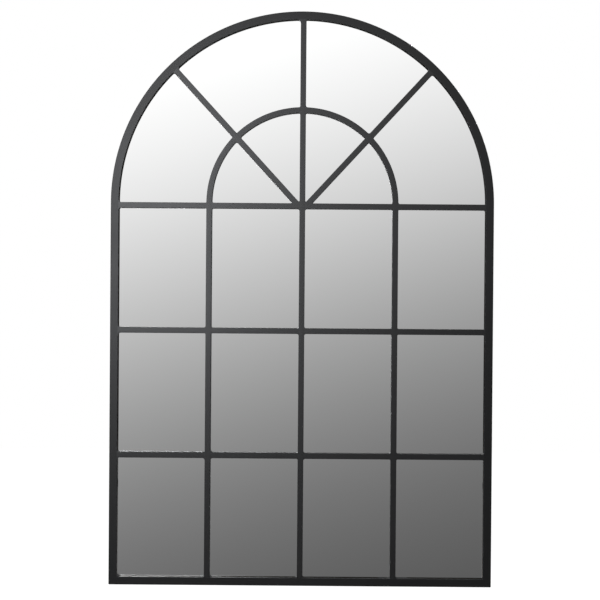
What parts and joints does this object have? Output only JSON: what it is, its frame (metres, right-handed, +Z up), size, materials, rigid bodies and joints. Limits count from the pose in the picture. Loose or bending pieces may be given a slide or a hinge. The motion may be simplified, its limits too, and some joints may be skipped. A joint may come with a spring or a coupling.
{
  "type": "arched window mirror",
  "caption": "Arch-topped window mirror: black steel tube frame and glazing bars with a fan head over a sheet of mirror glass, hung by swinging ring hangers.",
  "frame": {"origin": "on the wall plane at the centre of both arches, midway between the two wall hooks that the raised rings hang on", "axes": "+Z up the mirror, +Y into the wall, +X to the right of someone facing the mirror"},
  "size_m": [0.8, 0.026, 1.2],
  "materials": {
    "frame_steel": "satin black powder coat",
    "silvered_glass": "clear silvered float glass with a grey painted back",
    "foam_tape": "closed-cell black foam",
    "nylon": "plain black nylon",
    "hardboard": "raw brown fibreboard",
    "zinc_plate": "bright zinc plate",
    "bumper_rubber": "black moulded rubber"
  },
  "bodies": {
    "frame": {"backing_board": "hardboard", "bottom_clip": "zinc_plate", "bottom_clip_screw": "zinc_plate", "bottom_rail": "frame_steel", "centre_bar": "frame_steel", "centre_tape": "foam_tape", "crown_clip": "zinc_plate", "crown_clip_screw": "zinc_plate", "frame_arch": "frame_steel", "left_bar": "frame_steel", "left_bumper": "bumper_rubber", "left_diagonal": "frame_steel", "left_lower_arc": "frame_steel", "left_setting_block": "nylon", "left_shoulder_clip": "zinc_plate", "left_shoulder_clip_screw": "zinc_plate", "left_stile": "frame_steel", "left_stile_1_clip": "zinc_plate", "left_stile_1_clip_screw": "zinc_plate", "left_stile_2_clip": "zinc_plate", "left_stile_2_clip_screw": "zinc_plate", "left_strap": "zinc_plate", "left_strap_screw_1": "zinc_plate", "left_strap_screw_2": "zinc_plate", "left_tape": "foam_tape", "left_upper_arc": "frame_steel", "lower_rung_1": "frame_steel", "lower_rung_2": "frame_steel", "lower_rung_3": "frame_steel", "lower_rung_4": "frame_steel", "mirror_glass": "silvered_glass", "right_bar": "frame_steel", "right_bumper": "bumper_rubber", "right_diagonal": "frame_steel", "right_lower_arc": "frame_steel", "right_setting_block": "nylon", "right_shoulder_clip": "zinc_plate", "right_shoulder_clip_screw": "zinc_plate", "right_stile": "frame_steel", "right_stile_1_clip": "zinc_plate", "right_stile_1_clip_screw": "zinc_plate", "right_stile_2_clip": "zinc_plate", "right_stile_2_clip_screw": "zinc_plate", "right_strap": "zinc_plate", "right_strap_screw_1": "zinc_plate", "right_strap_screw_2": "zinc_plate", "right_tape": "foam_tape", "right_upper_arc": "frame_steel", "transom_1": "frame_steel", "transom_2": "frame_steel", "transom_3": "frame_steel", "transom_4": "frame_steel", "upper_rung_1": "frame_steel", "upper_rung_2": "frame_steel", "upper_rung_3": "frame_steel", "upper_rung_4": "frame_steel"},
    "left_ring": {"left_ring": "zinc_plate"},
    "right_ring": {"right_ring": "zinc_plate"}
  },
  "joints": [
    {"name": "left_ring_swing", "type": "hinge", "parent": "frame", "child": "left_ring", "pos_m": [-0.3915, -0.00345, -0.015], "axis": [1, 0, 0], "range_deg": [0, 180]},
    {"name": "right_ring_swing", "type": "hinge", "parent": "frame", "child": "right_ring", "pos_m": [0.3915, -0.00345, -0.015], "axis": [1, 0, 0], "range_deg": [0, 180]}
  ]
}
